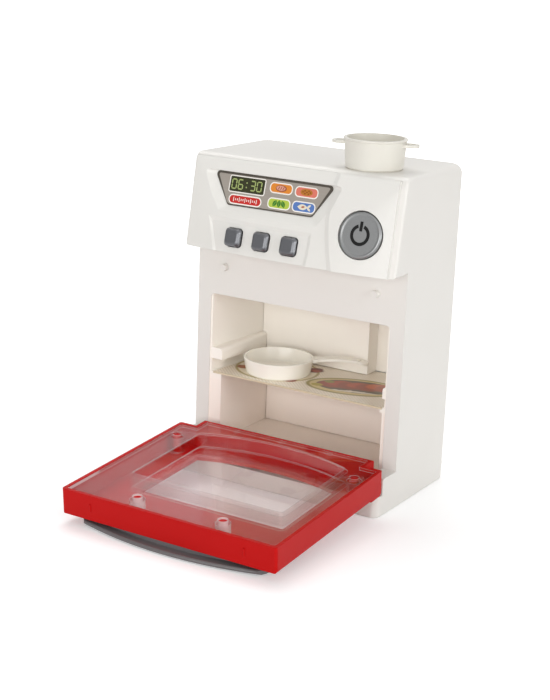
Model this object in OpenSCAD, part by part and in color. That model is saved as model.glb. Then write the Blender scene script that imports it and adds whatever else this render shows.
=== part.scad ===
// A toy oven with a drop-down door, a sliding shelf, push buttons, a frying pan and a cooking pot.
// It stands on the floor plane. Inside the modules y = 0 is the front face of the pillars, the
// cabinet reaches back towards +Y and the door folds out towards -Y. Module seat() then moves
// everything so that the origin lies in the middle of the base.

/* [Cabinet] */
// Width of the cabinet
body_w = 130; // [124:1:150]
// Depth from the front of the pillars to the back
body_d = 64; // [60:1:80]
// Height of the cabinet
body_h = 180; // [176:1:200]
// Wall of the main mouldings
wall = 2.2; // [1.8:0.1:2.6]
// Radius of the upright rear corners
rear_r = 8; // [6.5:0.5:10]
// Radius of the top edges
edge_r = 5; // [3.5:0.5:6]
// How far the plinth stands out in front of the pillars
plinth_out = 20; // [19:0.5:24]
// Radius of the upright corners of the plinth
plinth_r = 5; // [3:0.5:8]
// Width of the pillar on each side of the oven's opening
pillar_w = 8.5; // [8.5:0.25:11]
// Clearance at the seams between mouldings
seam = 0.05; // [0.05:0.05:0.25]

/* [Control head] */
// Height of the underside of the head
head_z = 129.2; // [126:0.2:134]
// How far the head stands out at its lower corners
head_out = 14.5; // [13:0.5:16]
// Extra reach of the head's lower edge in the middle
head_bow = 4.7; // [2:0.1:5]
// How far the top edge stands out
crease_out = 5.5; // [4:0.5:8]
// Radius of the head's front corners
head_r = 1.6; // [1.4:0.2:3]
// Radius of the edge between the slope and the top
crease_r = 5; // [3.5:0.5:6]
// Width of the frame left on the right of the control panel
panel_rim = 3.5; // [3:0.25:4]
// Thickness of the control panel at its edge
panel_t = 7; // [6:0.5:8]
// Height of the control panel along the slope
panel_h = 50.8; // [49.6:0.2:51.2]
// Thickness of the panel where the buttons pass through
panel_skin = 2.4; // [2:0.2:3]
// Rise of the field around the power button
raised_t = 1.4; // [0.6:0.2:1.8]
// Width of the sloping left edge of that field
raised_w = 3; // [2:0.2:4]
// Radius of that edge in the plane of the slope
raised_arc = 65; // [50:1:80]
// Width of the sloping edges round the field of the square buttons
soft_w = 2; // [1.2:0.2:3]
// Height of the top edge of that field up the slope
field_s = 17; // [16.4:0.2:17.6]
// Width of that field at its foot
field_w = 57.4; // [56:0.2:61]

/* [Display and buttons] */
// Width of the display window at its top
display_top_w = 72.5; // [60:0.5:74]
// Width of the display window at its foot
display_foot_w = 54.7; // [44:0.1:58]
// Height of the display window
display_h = 18; // [14:1:20]
// Middle of the display window from the centre line
display_x = -14; // [-16:0.5:-12]
// Height of the display's foot up the slope
display_s = 26; // [25:0.2:27]
// Depth of the display window
display_deep = 1.6; // [1.2:0.2:2]
// Side of a square button
button_w = 9.8; // [8.6:0.2:11]
// Distance between square buttons
button_pitch = 17.3; // [16:0.1:18]
// Middle of the button row from the centre line
button_x = -15; // [-17:0.5:-13]
// Height of the button row up the slope
button_s = 9.2; // [8.6:0.2:9.6]
// Depth of the field that the buttons stand in
field_deep = 0.8; // [0.6:0.1:1.2]
// Height of the square buttons above their field
button_high = 2.8; // [2.6:0.2:4]
// Travel of the square buttons
button_travel = 1.2; // [0.8:0.1:1.6]
// Diameter of the power button
power_d = 24.6; // [21:0.2:25]
// Distance of the power button's middle from the cabinet's right side
power_in = 21.5; // [21.5:0.25:24]
// Height of the power button up the slope
power_s = 20.8; // [20:0.1:22]
// Travel of the power button
power_travel = 1.5; // [0.8:0.1:1.6]
// Gap around each button
button_gap = 0.35; // [0.3:0.05:0.6]
// Distance from the panel's skin to the circuit board
board_gap = 4; // [3.8:0.1:4.4]
// Thickness of the circuit board
board_t = 1.6; // [1.2:0.2:2]

/* [Oven] */
// Top of the oven opening
oven_top = 100.4; // [94:0.2:102]
// Height of the oven floor
oven_floor = 14.8; // [13.6:0.2:16]
// How far the left wall below the shelf stands in from the opening
step_w = 7.8; // [4:0.2:9]
// Width of the ledge that carries the shelf on the right
ledge_w = 1.5; // [1:0.1:2]
// Height of the ledge that carries the shelf
ledge_z = 54; // [48:0.5:56]
// Distance from the oven's back wall to the cabinet's back
oven_rear = 14; // [13:0.5:18]
// How far the box above the shelf stands out from the back wall
box_out = 1.6; // [1:0.2:1.8]
// Distance from the recess beside the box to the rear cover
recess_rear = 2.6; // [2.4:0.2:5]
// Side of the back box, from the centre line
box_x = 19.2; // [16:0.2:22]
// Height of the left side rail, at its top
rail_z = 69; // [66:0.5:72]
// Height of the right side rail, at its top
small_rail_z = 66.5; // [64:0.5:72]
// Thickness of the shelf
shelf_t = 1; // [0.8:0.1:1.4]
// Gap on each side of the shelf
shelf_side = 0.3; // [0.2:0.1:0.8]

/* [Door] */
// Thickness of the door
door_t = 13.8; // [12:0.2:14]
// How far the door stays in from each side of the cabinet
door_side = 0.2; // [0.1:0.1:1]
// Radius of the door's lower edges
door_r = 1.5; // [0.8:0.1:1.8]
// Wall of the door frame
door_wall = 2; // [1.6:0.1:2.4]
// Height of the hinge axis
hinge_z = 19.1; // [18.8:0.1:19.4]
// Distance of the hinge axis in front of the pillars
hinge_out = 11.3; // [11:0.1:11.6]
// How far the hinge axis lies below the middle plane of the door
axis_low = 0.8; // [0.4:0.1:0.8]
// Distance from the hinge axis to the wide part of the door
door_heel = 3.4; // [3.2:0.1:5]
// Width of the cheeks that carry the hinge
cheek_w = 10.3; // [10:0.1:12]
// Height of the cheeks
cheek_z = 21.3; // [20.8:0.1:21.6]
// Diameter of the hinge pins
pin_d = 2.6; // [2:0.2:2.8]
// Length of the hinge pins
pin_l = 3; // [2:0.2:4]
// Gap above the closed door
door_gap = 0.7; // [0.6:0.1:1.4]
// Distance from the door's sides to the sunken window
window_side = 16.8; // [16:0.2:22]
// Far edge of the window, from the hinge axis
window_far = 76; // [68:1:80]
// Depth of the sunken window below its flange
window_deep = 8; // [5:0.5:8]
// Thickness of the clear panel
clear_t = 1.6; // [1.2:0.1:2]
// Bow of the window's edge beside the hinge
window_bow = 9; // [6:0.5:10]
// Outer diameter of the clear sockets
socket_d = 8; // [7:0.5:9]
// Diameter of the posts inside the sockets
post_d = 5; // [4:0.2:5.4]
// Distance from the door's sides to the ends of the handle
handle_side = 8.8; // [6:0.2:16]
// Bow of the handle's front edge
handle_bow = 8; // [4:0.5:9]
// Depth of the handle from front to back
handle_deep = 21; // [18:1:24]
// Thickness of the handle where it stands out past the door
lip_t = 2.3; // [2:0.1:2.3]
// Depth of the handle below the door
handle_t = 4.6; // [4:0.1:5]
// Reach of the handle past the free edge of the door
handle_out = 5; // [4:0.2:6.4]
// Gap between the open door's handle and the floor
floor_gap = 0.3; // [0.2:0.1:0.5]

/* [Pan and pot] */
// Radius of the pan's rim
pan_r = 20; // [16:0.5:22]
// Height of the pan
pan_h = 9.4; // [8:0.2:12]
// Middle of the pan, across
pan_x = -24; // [-26:0.5:-22]
// Middle of the pan, behind the pillars
pan_y = 22; // [20.5:0.5:22]
// Direction of the pan's handle
pan_turn = 28; // [20:1:34]
// Length of the pan's handle past its rim
pan_handle = 31; // [24:0.5:32]
// Radius of the pot below its rim
pot_r = 16.3; // [14:0.1:18]
// Height of the pot
pot_h = 16; // [13:0.5:20]
// Middle of the pot, across
pot_x = 35.4; // [30:0.2:40]
// Middle of the pot, behind the pillars
pot_y = 12.4; // [10:0.2:30]
// Direction of the pot's handles
pot_turn = 16; // [0:1:40]
// Reach of each of the pot's handles from the middle
pot_reach = 23.2; // [21:0.2:26]
// Wall of the pan and of the pot
pan_wall = 1.3; // [1:0.1:1.6]

/* [Hardware] */
// Diameter of a battery
cell_d = 14.2; // [13.9:0.1:14.4]
// Length of a battery
cell_l = 50.5; // [49:0.5:51]
// Diameter of the speaker
speaker_d = 36; // [28:1:38]
// Depth of the speaker
speaker_t = 7.4; // [6:0.2:8]
// Shank of the case screws
screw_d = 2.6; // [2.2:0.1:3]
// Length of the case screws
screw_l = 12; // [8:1:16]
// Diameter of the lamp
lamp_d = 5; // [3:0.5:6]

/* [Hidden] */

eps = 0.01;
half = body_w / 2;
base_mid = (body_d - plinth_out) / 2;

// The control slope: from the lower edge of the head in the middle up to the top edge
slope_rise = body_h - head_z;
slope_run = head_out + head_bow - crease_out;
slope_a = atan(slope_run / slope_rise);
crease_y = -crease_out - crease_r * tan(slope_a) + crease_r / cos(slope_a);
panel_half = half - panel_rim;
power_x = half - power_in;
skin_back = field_deep + panel_skin + 1.2;
board_n = skin_back + board_gap;

// Buttons
cap_r = 2;
cap_h = 1.6;
flange_t = 1.2;
flange_w = 2.4;
flange_foot = 3.8;
board_foot = 5.6;
board_left = -panel_half + 12.5;
board_right = panel_half - 4.5;
board_top = panel_h - 12.8;
post_x = power_x - power_d / 2 - 9.5;
power_gap = 0.4;
field_left = button_x - field_w / 2 - 0.5;
field_right = button_x + field_w / 2 - 0.4;
field_lean = 9.5;
screw_in = 3;
button_top = button_high - field_deep;

// Rear cover and what it carries
cover_t = 2.2;
cover_y = body_d - cover_t;
inner_half = half - wall;
boss_r = 3.5;
boss_x = half - rear_r - 3;
boss_low = 8.5;
boss_high = body_h - 11;
boss_front = cover_y - screw_l - 4;
head_wall_z = head_z + wall;

// Battery box behind the head
cell_gap = 0.4;
cell_pitch = cell_d + 0.8;
box_in_w = cell_l + 6;
box_in_h = 2 * cell_d + 0.8 + 2 * cell_gap;
box_wall = 1.6;
box_mid_z = head_z + 22;
cell_y = cover_y - cell_gap - cell_d / 2;
box_front = cell_y - cell_d / 2 - cell_gap - box_wall;
hatch_w = box_in_w + 4;
hatch_h = box_in_h + 9;
hatch_mid = box_mid_z + 2.5;
hatch_screw = hatch_mid + hatch_h / 2 - 3.6;
hatch_t = 1.6;
hatch_screw_l = 8;

// Oven
oven_w = body_w - 2 * pillar_w;
oven_d = body_d - oven_rear;
box_d = oven_d - box_out;
recess_d = cover_y - recess_rear;
upper_front = oven_w / 2 - 1;
upper_taper = 4;
lower_left = oven_w / 2 - step_w;
lower_in = 1.2;
ledge_t = 2;
ceiling_z = oven_top + 1.6;
rail_in = lower_left - 0.2;
rail_h = 6.5;
rail_r = 2;
small_rail_w = 1.6;
box_gap = 0.3;
shelf_front = 0.3;
shelf_back = recess_d - 0.6;
shelf_top = ledge_z + shelf_t;
rear_upper = upper_half(cover_y) - box_gap;
rear_right = rear_upper - lower_in;

// Door: lengths run from its hinge end to its free edge, heights are from its middle plane
door_half = door_t / 2;
door_w = body_w - 2 * door_side;
door_len = head_z - door_gap - hinge_z;
tongue_back = door_half - 0.3;
tongue_r = 1.5;
plinth_top = hinge_z - norm([tongue_back - tongue_r, door_half - axis_low - tongue_r])
    - tongue_r - 0.5;
cheek_in = half - cheek_w;
tongue_w = 2 * cheek_in - 1;
ear_r = door_heel - 0.4;
cheek_low = hinge_z + axis_low - door_half - 0.9;
stop_x = half - 17.6;
stop_r = 2;
stop_h = hinge_out - door_half - axis_low - 0.4;
door_corner = 1.4;
heel_r = 4;
tray_floor = -door_half + door_wall;
flange_top = door_half - 0.3;
flange_low = flange_top - clear_t;
pane_low = flange_low - window_deep;
window_w = door_w - 2 * window_side;
window_r = 3.5;
window_near = 0.5;
bow_r = (pow(window_w / 2, 2) + pow(window_bow, 2)) / (2 * window_bow);
posts = [
    [8.4 - door_w / 2, 19], [door_w / 2 - 8.4, 19], [-26, door_len - 12.8], [26, door_len - 12.8]
];
socket_low = tray_floor + 1.4;
handle_w = door_w - 2 * handle_side;
handle_reach = door_len + handle_out;
handle_r = (pow(handle_w / 2, 2) + pow(handle_bow, 2)) / (2 * handle_bow);
handle_end_r = 7;
peg_d = 4;
peg_x = handle_w / 2 - 16;
tip_low = door_half + handle_t - axis_low;
droop = asin((hinge_z - floor_gap) / norm([handle_reach, tip_low])) - atan(tip_low / handle_reach);

// Pan and pot
pan_foot = pan_r - 1.6;
pan_end = pan_r + pan_handle - 4;
pot_foot = pot_r - 1;

// Speaker behind the upper part of the oven
speaker_x = (box_x - rear_upper) / 2;
speaker_z = (shelf_top + ceiling_z) / 2;

module seat() {
    translate([0, -base_mid, 0]) children();
}

// Plan shape with round corners, made of circles and squares so that its corners stay true arcs
module rounded(w, d, r) {
    square([w - 2 * r, d], center = true);
    square([w, d - 2 * r], center = true);
    for (x = [-1, 1], y = [-1, 1])
        translate([x * (w / 2 - r), y * (d / 2 - r)]) circle(r, $fn = 32);
}

// Half the width of the oven above the shelf, which narrows towards the back
function upper_half(y) = upper_front - upper_taper * y / oven_d;

// Ring with a round outer edge, for the corners of the housing
module corner_ring(outer, r) {
    rotate_extrude($fn = 32)
        intersection() {
            translate([outer - r, 0]) circle(r, $fn = 32);
            translate([0, -r]) square([outer, 2 * r]);
        }
}

// Block given by its low and high corners
module block(low, high) {
    translate(low) cube(high - low);
}

// Side profile in y and z, drawn out along x between two planes
module side_prism(points, x0, x1) {
    translate([x0, 0, 0])
        rotate([90, 0, 90])
            linear_extrude(x1 - x0) polygon(points);
}

// Frame of the control slope: x across, y up the slope, z out of it
module on_slope() {
    translate([0, -head_out - head_bow, head_z])
        rotate([90 - slope_a, 0, 0])
            children();
}

// How far the bowed front lies behind the slope's plane
function bow_n(x, s) =
    let (
        up = s * cos(slope_a) / slope_rise,
        reach = half - head_r,
        out = max(0, abs(x) - up * reach) / (reach - up * reach)
    )
    -head_bow * (1 - up) * out * out * cos(slope_a);

// Frame of the door: x across, -y towards its free edge, z up from its middle plane
module on_door() {
    translate([0, -hinge_out, hinge_z])
        rotate([droop, 0, 0])
            translate([0, 0, axis_low]) children();
}

// Lower edge of the head in plan, bowed in the middle
module head_outline() {
    steps = 12;
    reach = half - head_r;
    polygon(concat(
        [for (i = [0 : steps])
            let (x = -reach + 2 * reach * i / steps)
            [x, -head_out - head_bow * (1 - pow(x / reach, 2))]],
        [[reach, wall], [-reach, wall]]
    ));
    for (s = [-1, 1])
        translate([s * reach, -head_out + head_r]) circle(head_r, $fn = 24);
}

// Round-cornered outer form, shared by the shell, its rear cover and the control panel
module head_corners() {
    for (s = [-1, 1])
        translate([s * (half - head_r), crease_y, body_h - crease_r])
            rotate([0, 90, 0]) corner_ring(crease_r, head_r);
    translate([0, 0, head_z]) linear_extrude(0.1) head_outline();
}

module envelope() {
    foot_r = 1.2;
    hull() {
        head_corners();
        for (s = [-1, 1]) {
            translate([s * (half - rear_r), body_d - rear_r, 0]) {
                translate([0, 0, body_h - edge_r]) corner_ring(rear_r, edge_r);
                translate([0, 0, foot_r]) corner_ring(rear_r, foot_r);
            }
            translate([s * (half - plinth_r), plinth_r - plinth_out, foot_r])
                corner_ring(plinth_r, foot_r);
        }
    }
}

module head_form() {
    hull() {
        head_corners();
        block([-half, wall, head_z], [half, 2 * wall, body_h - edge_r]);
        block([-half + edge_r, wall, head_z], [half - edge_r, 2 * wall, body_h]);
    }
}

// Space in front of the pillars that the door closes into, with the cheeks left standing
module door_space() {
    difference() {
        block([-half - 1, -60, plinth_top], [half + 1, 0, head_z]);
        for (s = [-1, 1])
            translate([s > 0 ? cheek_in : -half - 2, 0, 0])
                rotate([90, 0, 90])
                    linear_extrude(half + 2 - cheek_in) cheek_outline();
    }
}

// Side view of a cheek: low in front, under the door, and round about the hinge axis
module cheek_outline() {
    polygon([
        [1, plinth_top - 1], [1, cheek_z], [-hinge_out, cheek_z], [-hinge_out, hinge_z],
        [-hinge_out - ear_r, hinge_z], [-hinge_out - ear_r, cheek_low], [-61, cheek_low],
        [-61, plinth_top - 1]
    ]);
    intersection() {
        translate([-hinge_out, hinge_z]) circle(ear_r, $fn = 48);
        translate([-hinge_out - ear_r, cheek_low]) square([2 * ear_r, cheek_z - cheek_low]);
    }
}

// Rounding of the head's lower side edges, in front of the pillars
module head_edges() {
    r = 2;
    for (s = [-1, 1])
        difference() {
            translate([s * half, -16, head_z]) cube([2 * r, 32, 2 * r], center = true);
            translate([s * (half - r), 1, head_z + r]) rotate([90, 0, 0]) cylinder(r = r, h = 40, $fn = 48);
        }
}

// Space that the control panel fills, grown by a seam on its free sides. The panel wraps round
// the left corner and stops at the frame on the right.
module panel_space(grow) {
    on_slope() block([-half - 2, -12, -panel_t], [panel_half + grow, panel_h + grow, 12]);
}

module shell_void() {
    inner = [
        [-inner_half, wall], [inner_half, wall], [inner_half, cover_y - rear_r + wall],
        [half - rear_r + 1, cover_y - 1], [half - rear_r + 1, body_d + 1],
        [-half + rear_r - 1, body_d + 1], [-half + rear_r - 1, cover_y - 1],
        [-inner_half, cover_y - rear_r + wall]
    ];
    translate([0, 0, wall]) linear_extrude(body_h - 2 * wall) polygon(inner);
    // the rest of the head, up to the back of the control panel
    front = -head_out - head_bow + (panel_t - 1) / cos(slope_a);
    lean = tan(slope_a);
    side_prism([
        [wall + eps, head_wall_z], [front + lean * wall, head_wall_z],
        [front + lean * (slope_rise - wall - 3), body_h - wall - 3],
        [front + lean * slope_rise + 2, body_h - wall], [wall + eps, body_h - wall]
    ], -panel_half + 2, panel_half - 2);
    // hollow plinth
    side_prism([
        [wall + eps, wall], [-plinth_out + wall + 0.6, wall],
        [-plinth_out + wall + 0.8, plinth_top - wall], [wall + eps, plinth_top - wall]
    ], -half + wall + 2, half - wall - 2);
}

// Walls of the oven, moulded with the shell and open at the back
module oven_walls() {
    reach = cover_y - seam;
    difference() {
        union() {
            block([-inner_half + 2.5, 0, oven_floor - wall], [inner_half - 2.5, reach, shelf_top]);
            oven_space(shelf_top - eps, ceiling_z + wall, -wall, -wall, 0);
        }
        lower_space(oven_floor, ledge_z - ledge_t, lower_in, 1);
        lower_space(ledge_z - ledge_t - eps, ledge_z, lower_in + ledge_w, 1);
        oven_space(ledge_z - eps, shelf_top, lower_in, lower_in, 1);
        oven_space(shelf_top - eps, ceiling_z, 0, 0, 1);
        // the lower walls are thin, with a ledge on top
        block([-half, wall, oven_floor - 1 - wall], [-lower_left - wall, body_d, ledge_z - wall]);
        difference() {
            block([0, wall, oven_floor - 1 - wall], [half, body_d, ledge_z - ledge_t - wall]);
            lower_space(oven_floor - 2 * wall, ledge_z, lower_in - wall, 2);
        }
    }
    // side rails, the left one deep and the right one shallow
    intersection() {
        oven_space(ledge_z, ceiling_z, -wall / 2, -wall / 2, 0);
        rail(-rail_in, rail_z, -1);
    }
    intersection() {
        oven_space(ledge_z, ceiling_z, -wall / 2, -wall / 2, 0);
        rail(upper_front - small_rail_w, small_rail_z, 1);
    }
}

// Rail with round inner edges, deeper below towards the back
module rail(x, top, side) {
    w = half - abs(x);
    intersection() {
        side_prism([
            [0.4, top - rail_h], [0.4, top], [box_d - 0.4, top], [box_d - 0.4, top - rail_h - 3]
        ], -half, half);
        translate([x + side * w / 2, oven_d, top - rail_h])
            rotate([90, 0, 0]) linear_extrude(oven_d) rounded(w, 2 * rail_h, rail_r);
    }
}

// Space of the oven between two heights. It narrows towards the back, and each side may be
// moved in or out; over makes it reach past both ends.
module oven_space(z0, z1, left, right, over) {
    y0 = -over;
    y1 = cover_y - seam + over;
    translate([0, 0, z0])
        linear_extrude(z1 - z0)
            polygon([
                [-upper_half(y0) + left, y0], [upper_half(y0) - right, y0],
                [upper_half(y1) - right, y1], [-upper_half(y1) + left, y1]
            ]);
}

// Space below the shelf, with its left wall standing in straight
module lower_space(z0, z1, right, over) {
    intersection() {
        oven_space(z0, z1, 0, right, over);
        block([-lower_left, -over, z0 - 1], [half, body_d + over, z1 + 1]);
    }
}

module case_bosses() {
    for (s = [-1, 1], z = [boss_low, boss_high])
        translate([s * boss_x, 0, z]) {
            translate([0, boss_front, 0]) rotate([-90, 0, 0])
                cylinder(r = boss_r, h = cover_y - seam - boss_front, $fn = 32);
            rib = inner_half - boss_x + 0.5;
            block([s > 0 ? 0 : -rib, boss_front, -1], [s > 0 ? rib : 0, cover_y - seam, 1]);
            if (z > boss_low)
                block([-1, boss_front, 0], [1, cover_y - seam, body_h - boss_high - wall + 0.5]);
            if (z == boss_low)
                block([-1, boss_front, wall - boss_low - 0.5], [1, cover_y - seam, 0]);
        }
}

module oven_mouth() {
    // arched at its two upper corners
    translate([0, wall + 1, 0])
        rotate([90, 0, 0])
            linear_extrude(wall + 3) {
                r = 2.5;
                translate([-oven_w / 2, oven_floor]) square([oven_w, oven_top - r - oven_floor]);
                translate([-oven_w / 2 + r, oven_floor]) square([oven_w - 2 * r, oven_top - oven_floor]);
                for (s = [-1, 1])
                    translate([s * (oven_w / 2 - r), oven_top - r]) circle(r, $fn = 32);
            }
}

module cabinet_shell() {
    color("whitesmoke") seat()
        difference() {
            union() {
                difference() {
                    envelope();
                    door_space();
                    shell_void();
                    oven_mouth();
                    block([-half - 1, cover_y - seam, -1], [half + 1, body_d + 9, body_h + 1]);
                }
                intersection() {
                    oven_walls();
                    block([-inner_half - 0.5, 0.6, wall - 1], [inner_half + 0.5, body_d, body_h]);
                }
                case_bosses();
                // stops for the closed door
                for (s = [-1, 1])
                    translate([s * stop_x, 1, head_z - 12.6])
                        rotate([90, 0, 0])
                            cylinder(r = stop_r, h = stop_h + 1, $fn = 32);
            }
            panel_space(seam);
            head_edges();
            // hinge holes in the cheeks
            for (s = [-1, 1])
                translate([s * (cheek_in - 1), -hinge_out, hinge_z])
                    rotate([0, s * 90, 0]) cylinder(d = pin_d + 0.2, h = pin_l + 1.6, $fn = 32);
            // screw bores
            for (s = [-1, 1], z = [boss_low, boss_high])
                translate([s * boss_x, cover_y - screw_l - 2, z])
                    rotate([-90, 0, 0]) cylinder(d = screw_d + 0.1, h = screw_l + 4, $fn = 24);
            // lamp hole in the oven's ceiling
            translate([0, oven_d / 2, ceiling_z - 1]) cylinder(d = lamp_d + 0.3, h = wall + 2, $fn = 32);
        }
}

module rear_cover() {
    color("white") seat()
        difference() {
            union() {
                intersection() {
                    envelope();
                    block([-half - 1, cover_y, -1], [half + 1, body_d + 9, body_h + 1]);
                }
                // back wall of the oven below the shelf
                block([-lower_left + box_gap, oven_d, oven_floor + box_gap],
                    [rear_right, cover_y + eps, ledge_z - ledge_t - box_gap]);
                // box above the shelf that leaves a deeper recess on one side
                translate([0, 0, shelf_top + box_gap])
                    linear_extrude(ceiling_z - shelf_top - 2 * box_gap)
                        polygon([
                            [-upper_half(box_d) + box_gap, box_d], [box_x, box_d],
                            [box_x, recess_d], [upper_half(recess_d) - box_gap, recess_d],
                            [rear_upper, cover_y + eps], [-rear_upper, cover_y + eps]
                        ]);
                // battery box
                block([-box_in_w / 2 - box_wall, box_front, box_mid_z - box_in_h / 2 - box_wall],
                    [box_in_w / 2 + box_wall, cover_y + eps, box_mid_z + box_in_h / 2 + box_wall]);
                // boss for the battery door's screw
                block([-boss_r, cover_y - hatch_screw_l, box_mid_z + box_in_h / 2],
                    [boss_r, cover_y + eps, hatch_screw + boss_r]);
            }
            translate([0, cover_y - hatch_screw_l + 2, hatch_screw])
                rotate([-90, 0, 0]) cylinder(d = screw_d + 0.1, h = hatch_screw_l + 2, $fn = 24);
            // hollow behind the lower back wall and the box, seen from inside the case
            block([-lower_left + box_gap + box_wall, oven_d + box_wall, oven_floor + box_gap + box_wall],
                [rear_right - box_wall, cover_y, ledge_z - ledge_t - box_gap - box_wall]);
            block([-rear_upper + box_wall, box_d + box_wall, shelf_top + box_gap + box_wall],
                [box_x - box_wall, cover_y, ceiling_z - box_gap - box_wall]);
            // battery space, its door opening and the ledge the door lies on
            block([-box_in_w / 2, box_front + box_wall, box_mid_z - box_in_h / 2],
                [box_in_w / 2, body_d + 1, box_mid_z + box_in_h / 2]);
            block([-hatch_w / 2 - seam, body_d - hatch_t, hatch_mid - hatch_h / 2 - seam],
                [hatch_w / 2 + seam, body_d + 1, hatch_mid + hatch_h / 2 + seam]);
            // screw holes with sunk heads
            for (s = [-1, 1], z = [boss_low, boss_high])
                translate([s * boss_x, cover_y - 1, z])
                    rotate([-90, 0, 0]) {
                        cylinder(d = screw_d + 0.4, h = cover_t + 2, $fn = 24);
                        translate([0, 0, 1.7]) cylinder(d = 6, h = cover_t + 1, $fn = 32);
                    }
            // sound holes over the speaker
            for (i = [-2 : 2], k = [-2 : 2])
                if (abs(i) + abs(k) < 4)
                    translate([speaker_x + 4.4 * i, cover_y - 1, speaker_z + 4.4 * k])
                        rotate([-90, 0, 0]) cylinder(d = 2, h = cover_t + 2, $fn = 16);
            // tab slots of the battery door
            for (s = [-1, 1])
                translate([s * hatch_w / 4, body_d - hatch_t - 0.6, hatch_mid - hatch_h / 2 - seam])
                    cube([8.4, 1.5, 3.4], center = true);
        }
}

module battery_door() {
    color("white") seat()
        difference() {
            union() {
                block([-hatch_w / 2, body_d - hatch_t, hatch_mid - hatch_h / 2],
                    [hatch_w / 2, body_d, hatch_mid + hatch_h / 2]);
                for (s = [-1, 1])
                    translate([s * hatch_w / 4, body_d - hatch_t - 0.55 + eps, hatch_mid - hatch_h / 2])
                        cube([8, 1.1, 2.8], center = true);
            }
            // finger grooves
            for (i = [-1 : 1])
                block([-9, body_d - 0.6, hatch_mid + 3 * i], [9, body_d + 1, hatch_mid + 1.2 + 3 * i]);
            translate([0, body_d - hatch_t - 1, hatch_screw])
                rotate([-90, 0, 0]) {
                    cylinder(d = screw_d + 0.4, h = hatch_t + 2, $fn = 24);
                    translate([0, 0, 1.6]) cylinder(d = 5, h = hatch_t + 2, $fn = 32);
                }
        }
}

// Window outline in the door's plane. The edge beside the hinge is an arc.
module window_shape(grow) {
    offset(r = window_r + grow, $fn = 32) offset(delta = -window_r)
        intersection() {
            translate([-window_w / 2, -window_far]) square([window_w, window_far]);
            translate([0, -window_near - bow_r]) circle(bow_r, $fn = 180);
        }
}

module tray_outline(inset, r) {
    mid = -(door_len + door_heel) / 2;
    translate([0, mid]) rounded(door_w - 2 * inset, door_len - door_heel - 2 * inset, r);
    translate([-tongue_w / 2 + inset, -door_heel - 6])
        square([tongue_w - 2 * inset, door_heel + 6 + tongue_back - inset]);
}

// Outer form of the door: a wide part with round lower edges and a tongue between the cheeks
module tray_form() {
    intersection() {
        translate([0, 0, -door_half]) linear_extrude(door_t) tray_outline(0, door_corner);
        union() {
            translate([0, -door_heel - 6, door_half])
                rotate([90, 0, 0]) linear_extrude(door_len) rounded(door_w, 2 * door_t, door_r);
            wide_side();
            tongue_side();
        }
    }
}

// Side view of the wide part, round below its rear end
module wide_side() {
    rotate([90, 0, 90])
        translate([0, 0, -door_w / 2])
            linear_extrude(door_w) translate([-door_heel - heel_r, 0]) {
                translate([-8, -door_half + heel_r]) square([heel_r + 8, door_t]);
                translate([-8, -door_half]) square([8, door_t]);
                translate([0, -door_half + heel_r]) circle(heel_r, $fn = 48);
            }
}

module tongue_side() {
    len = tongue_back + door_heel + 8;
    translate([-tongue_w / 2, tongue_back - len / 2, 0])
        rotate([90, 0, 90]) linear_extrude(tongue_w) rounded(len, door_t, tongue_r);
}

module door_frame() {
    color("crimson") seat() on_door() {
        difference() {
            tray_form();
            translate([0, 0, tray_floor]) linear_extrude(door_t) tray_outline(door_wall, 1);
            // opening behind the window
            translate([0, 0, -door_half - 1])
                linear_extrude(door_wall + 2)
                    translate([0, -10]) intersection() {
                        translate([-window_w / 2 + 4, -window_far + 16])
                            square([window_w - 8, window_far]);
                        translate([0, -bow_r]) circle(bow_r, $fn = 180);
                    }
            // holes for the handle's pegs
            for (s = [-1, 1])
                translate([s * peg_x, -door_len + 8, -door_half - 1])
                    cylinder(d = peg_d + 0.2, h = door_wall + 2, $fn = 32);
        }
        // posts for the clear sockets, each on a collar
        for (p = posts)
            translate([p[0], -p[1], tray_floor - eps]) {
                cylinder(d = socket_d, h = socket_low - tray_floor + eps, $fn = 32);
                cylinder(d = post_d, h = flange_top - tray_floor - 0.8, $fn = 32);
            }
        for (s = [-1, 1]) {
            // hinge pins
            translate([s * (tongue_w / 2 - 0.5), 0, -axis_low])
                rotate([0, s * 90, 0]) cylinder(d = pin_d, h = pin_l + 0.5 + 0.2, $fn = 32);
            // catches on the free edge
            translate([s * 46.5, -door_len, -2]) cylinder(r = 0.6, h = 4, $fn = 16);
        }
    }
}

module door_window() {
    color("lightcyan", 0.4) seat() on_door()
        difference() {
            union() {
                translate([0, 0, flange_low]) linear_extrude(clear_t) tray_outline(door_wall + 0.2, 0.9);
                translate([0, 0, pane_low]) linear_extrude(flange_low - pane_low + eps) window_shape(0);
                for (p = posts)
                    translate([p[0], -p[1], socket_low])
                        cylinder(d = socket_d, h = flange_low - socket_low + eps, $fn = 32);
                for (p = posts)
                    translate([p[0], -p[1], flange_top - eps])
                        cylinder(d1 = socket_d + 2, d2 = socket_d + 1, h = 0.3, $fn = 32);
            }
            translate([0, 0, pane_low + clear_t]) linear_extrude(door_t) window_shape(-clear_t);
            for (p = posts)
                translate([p[0], -p[1], socket_low - 1])
                    cylinder(d = post_d + 0.3, h = door_t, $fn = 32);
        }
}

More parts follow.
